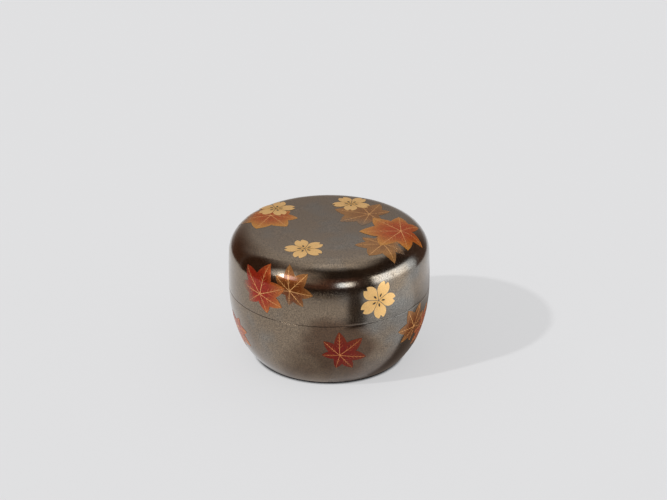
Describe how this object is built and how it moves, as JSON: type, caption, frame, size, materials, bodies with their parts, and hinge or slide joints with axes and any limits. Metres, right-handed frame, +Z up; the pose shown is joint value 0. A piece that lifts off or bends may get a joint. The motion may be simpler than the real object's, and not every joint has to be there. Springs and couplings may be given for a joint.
{
  "type": "tea caddy",
  "caption": "Low round lacquered tea caddy with a lift-off lid over an upstanding lip, scattered with gold blossoms and red and bronze maple leaves.",
  "frame": {"origin": "centre of the plane that the foot ring stands on", "axes": "+Z up along the turning axis, -Y toward the front, +X to the viewer's right"},
  "size_m": [0.082, 0.082, 0.0561],
  "materials": {
    "turned_wood": "bare turned wood under lacquer",
    "metallic_lacquer": "lacquer with fine metal powder, polished",
    "black_lacquer": "polished black lacquer",
    "gold_film": "gold powder in lacquer, burnished",
    "orange_leaf_film": "red lacquer with gold powder",
    "bronze_leaf_film": "brown lacquer with gold powder",
    "red_leaf_film": "red lacquer with gold powder"
  },
  "bodies": {
    "bowl": {"base_lacquer": "black_lacquer", "bowl_blossom_rear": "gold_film", "bowl_core": "turned_wood", "bowl_lacquer": "metallic_lacquer", "bowl_leaf_front": "red_leaf_film", "bowl_leaf_left": "red_leaf_film", "bowl_leaf_rear": "red_leaf_film", "bowl_leaf_right_bronze": "bronze_leaf_film", "bowl_leaf_right_red": "red_leaf_film", "bowl_lining": "black_lacquer"},
    "lid": {"lid_blossom_back_left": "gold_film", "lid_blossom_back_right": "gold_film", "lid_blossom_front": "gold_film", "lid_blossom_rear": "gold_film", "lid_blossom_side": "gold_film", "lid_core": "turned_wood", "lid_lacquer": "metallic_lacquer", "lid_leaf_back_left": "orange_leaf_film", "lid_leaf_back_right": "bronze_leaf_film", "lid_leaf_front_right": "bronze_leaf_film", "lid_leaf_rear_bronze": "bronze_leaf_film", "lid_leaf_rear_red": "red_leaf_film", "lid_leaf_right": "orange_leaf_film", "lid_leaf_side_bronze": "bronze_leaf_film", "lid_leaf_side_red": "red_leaf_film", "lid_lining": "black_lacquer"}
  },
  "joints": [
    {"name": "lid_lift", "type": "slide", "parent": "bowl", "child": "lid", "axis": [0, 0, 1], "range_m": [0, 0.08]}
  ]
}
